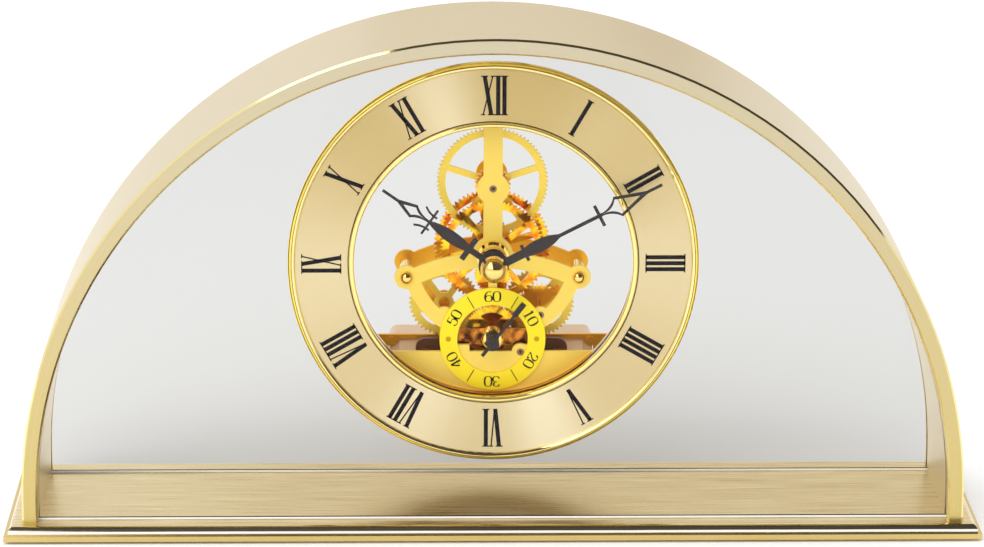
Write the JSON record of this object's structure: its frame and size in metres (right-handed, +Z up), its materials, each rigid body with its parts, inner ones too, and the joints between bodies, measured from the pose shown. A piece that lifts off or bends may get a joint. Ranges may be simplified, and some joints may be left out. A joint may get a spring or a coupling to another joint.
{
  "type": "half-moon skeleton mantel clock",
  "caption": "Arched gilt mantel clock with clear panes, an open dial over a skeleton gear train, black hands, a seconds dial and a battery movement.",
  "frame": {"origin": "on the table, under the middle of the base", "axes": "+X to the right seen from the front, +Y to the back, +Z up"},
  "size_m": [0.29, 0.0652, 0.1514],
  "materials": {
    "gilt_satin": "brushed satin gilt",
    "gilt_polished": "polished gilt",
    "gilt_plate": "polished gilt plate",
    "brass_wheel": "cut brass",
    "steel": "turned steel",
    "bronze": "bronze",
    "black_enamel": "matt black enamel",
    "clear_glass": "clear float glass",
    "felt": "felt",
    "tan_plastic": "moulded, satin",
    "black_plastic": "moulded, satin",
    "copper_coil": "lacquered winding",
    "board_green": "solder mask",
    "cell_jacket": "printed jacket",
    "nickel": "nickel plate"
  },
  "bodies": {
    "case": {"arch_frame": "gilt_satin", "arch_screws": "steel", "battery_box": "tan_plastic", "battery_contacts": "nickel", "box_screws": "steel", "cage_screws": "steel", "centre_collar": "gilt_polished", "chapter_ring": "gilt_satin", "circuit_board": "board_green", "clamp_ring": "gilt_polished", "clamp_screws": "gilt_polished", "dial_backing": "gilt_satin", "dial_posts": "gilt_polished", "foot_pads": "felt", "front_bushes": "bronze", "front_pane": "clear_glass", "front_plate": "gilt_plate", "inner_rim": "gilt_polished", "left_stud": "steel", "motion_stud": "steel", "motor_cage": "tan_plastic", "motor_coil": "copper_coil", "motor_stator": "steel", "mounting_ring": "gilt_polished", "outer_bezel": "gilt_polished", "pillar_nuts": "gilt_polished", "pillars": "nickel", "plinth": "gilt_satin", "quartz_crystal": "nickel", "rear_bushes": "bronze", "rear_pane": "clear_glass", "rear_plate": "gilt_plate", "rim_screws": "steel", "seconds_bridge": "gilt_plate", "seconds_bush": "gilt_polished", "sole_plate": "gilt_polished", "subdial_pegs": "gilt_plate", "subdial_ring": "gilt_plate"},
    "minute_work": {"centre_arbor": "steel", "centre_wheel": "brass_wheel", "cannon_pinion": "brass_wheel", "minute_hand": "black_enamel", "hand_nut": "gilt_polished", "setting_knob": "black_plastic"},
    "hour_work": {"hour_wheel": "brass_wheel", "hour_hand": "black_enamel"},
    "motion_work": {"motion_wheel": "brass_wheel"},
    "transfer_work": {"transfer_wheel": "brass_wheel"},
    "top_work": {"top_arbor": "steel", "top_wheel": "brass_wheel"},
    "right_work": {"right_arbor": "steel", "right_wheel": "brass_wheel"},
    "left_work": {"left_wheel": "brass_wheel"},
    "seconds_work": {"seconds_arbor": "steel", "seconds_wheel": "brass_wheel", "seconds_hand": "black_enamel"},
    "motor_work": {"motor_wheel": "brass_wheel"},
    "rotor_work": {"motor_rotor": "black_plastic"},
    "cell": {"battery_cell": "cell_jacket"}
  },
  "joints": [
    {"name": "minute_spin", "type": "hinge", "parent": "case", "child": "minute_work", "pos_m": [0, 0, 0.0796], "axis": [0, 1, 0], "continuous": true},
    {"name": "hour_spin", "type": "hinge", "parent": "case", "child": "hour_work", "pos_m": [0, 0, 0.0796], "axis": [0, 1, 0], "continuous": true},
    {"name": "motion_spin", "type": "hinge", "parent": "case", "child": "motion_work", "pos_m": [0, 0, 0.0726], "axis": [0, 1, 0], "continuous": true},
    {"name": "transfer_spin", "type": "hinge", "parent": "case", "child": "transfer_work", "pos_m": [0, 0, 0.0796], "axis": [0, 1, 0], "continuous": true},
    {"name": "top_spin", "type": "hinge", "parent": "case", "child": "top_work", "pos_m": [0, 0, 0.1001], "axis": [0, 1, 0], "continuous": true},
    {"name": "right_spin", "type": "hinge", "parent": "case", "child": "right_work", "pos_m": [0.01439, 0, 0.06107], "axis": [0, 1, 0], "continuous": true},
    {"name": "left_spin", "type": "hinge", "parent": "case", "child": "left_work", "pos_m": [-0.01439, 0, 0.06107], "axis": [0, 1, 0], "continuous": true},
    {"name": "seconds_spin", "type": "hinge", "parent": "case", "child": "seconds_work", "pos_m": [0, 0, 0.05385], "axis": [0, 1, 0], "continuous": true},
    {"name": "motor_spin", "type": "hinge", "parent": "case", "child": "motor_work", "pos_m": [0.00842, 0, 0.04956], "axis": [0, 1, 0], "continuous": true},
    {"name": "rotor_spin", "type": "hinge", "parent": "case", "child": "rotor_work", "pos_m": [0.01228, 0, 0.04496], "axis": [0, 1, 0], "continuous": true},
    {"name": "cell_draw", "type": "slide", "parent": "case", "child": "cell", "axis": [0, 1, 0], "range_m": [0, 0.035]}
  ],
  "couplings": [
    {"joint": "hour_spin", "follows": "minute_spin", "ratio": 0.083333},
    {"joint": "motion_spin", "follows": "minute_spin", "ratio": -0.33333},
    {"joint": "top_spin", "follows": "minute_spin", "ratio": -3},
    {"joint": "transfer_spin", "follows": "minute_spin", "ratio": 12},
    {"joint": "right_spin", "follows": "minute_spin", "ratio": -33.333},
    {"joint": "left_spin", "follows": "minute_spin", "ratio": -33.333},
    {"joint": "seconds_spin", "follows": "minute_spin", "ratio": 60},
    {"joint": "motor_spin", "follows": "minute_spin", "ratio": -360},
    {"joint": "rotor_spin", "follows": "minute_spin", "ratio": 1800}
  ]
}
